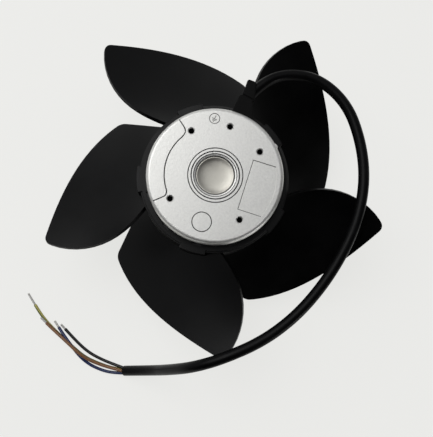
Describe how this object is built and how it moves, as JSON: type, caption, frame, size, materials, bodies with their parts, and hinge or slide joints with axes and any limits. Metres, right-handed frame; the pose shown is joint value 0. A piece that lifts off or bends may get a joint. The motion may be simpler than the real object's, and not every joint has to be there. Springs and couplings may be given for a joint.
{
  "type": "external rotor fan",
  "caption": "Small mixed flow fan on an external rotor motor, with a tapped mounting flange, sickle blades and a free lead.",
  "frame": {"origin": "centre of the motor's mounting face, on the shaft axis", "axes": "+Z along the shaft out of the mounting face; +X and +Y lie in the mounting face, with the lead leaving 66.5 degrees from +X towards +Y"},
  "size_m": [0.2235, 0.21, 0.0682],
  "materials": {
    "cast_aluminium": "die cast, shot blasted, fine grain",
    "steel": "turned or pressed steel, bright",
    "ball_steel": "polished",
    "stack_sheet": "stacked electrical sheet",
    "insulator_plastic": "moulded, natural white",
    "copper_enamel": "enamelled copper wire, varnished",
    "cutout_sleeve": "sleeved thermal switch",
    "black_steel": "black dip coat on drawn steel",
    "impeller_plastic": "glass filled moulding, satin black",
    "boot_rubber": "black moulded rubber",
    "jacket_black": "satin black cable jacket",
    "lead_plastic": "wire insulation",
    "core_earth": "green and yellow insulation",
    "core_brown": "brown insulation",
    "core_blue": "blue insulation",
    "core_black": "black insulation",
    "tinned_copper": "tinned strands"
  },
  "bodies": {
    "stator": {"stator_flange": "cast_aluminium", "bearing_cap": "steel", "preload_spring": "steel", "stator_core": "stack_sheet", "upper_insulator": "insulator_plastic", "lower_insulator": "insulator_plastic", "stator_winding": "copper_enamel", "thermal_cutout": "cutout_sleeve", "winding_leads": "lead_plastic", "cable_boot": "boot_rubber", "cable_jacket": "jacket_black", "upper_bearing_outer_ring": "steel", "upper_bearing_shields": "steel", "lower_bearing_outer_ring": "steel", "lower_bearing_shields": "steel", "earth_core": "core_earth", "earth_core_end": "tinned_copper", "brown_core": "core_brown", "brown_core_end": "tinned_copper", "blue_core": "core_blue", "blue_core_end": "tinned_copper", "black_core": "core_black", "black_core_end": "tinned_copper"},
    "rotor": {"shaft": "steel", "retaining_ring": "black_steel", "rotor_hub": "steel", "rotor_cup": "black_steel", "rotor_laminations": "stack_sheet", "rotor_cage": "cast_aluminium", "impeller": "impeller_plastic", "upper_bearing_inner_ring": "steel", "upper_bearing_balls": "ball_steel", "upper_bearing_cage": "steel", "lower_bearing_inner_ring": "steel", "lower_bearing_balls": "ball_steel", "lower_bearing_cage": "steel"}
  },
  "joints": [
    {"name": "rotor_spin", "type": "hinge", "parent": "stator", "child": "rotor", "pos_m": [0, 0, 0], "axis": [0, 0, 1], "continuous": true}
  ]
}
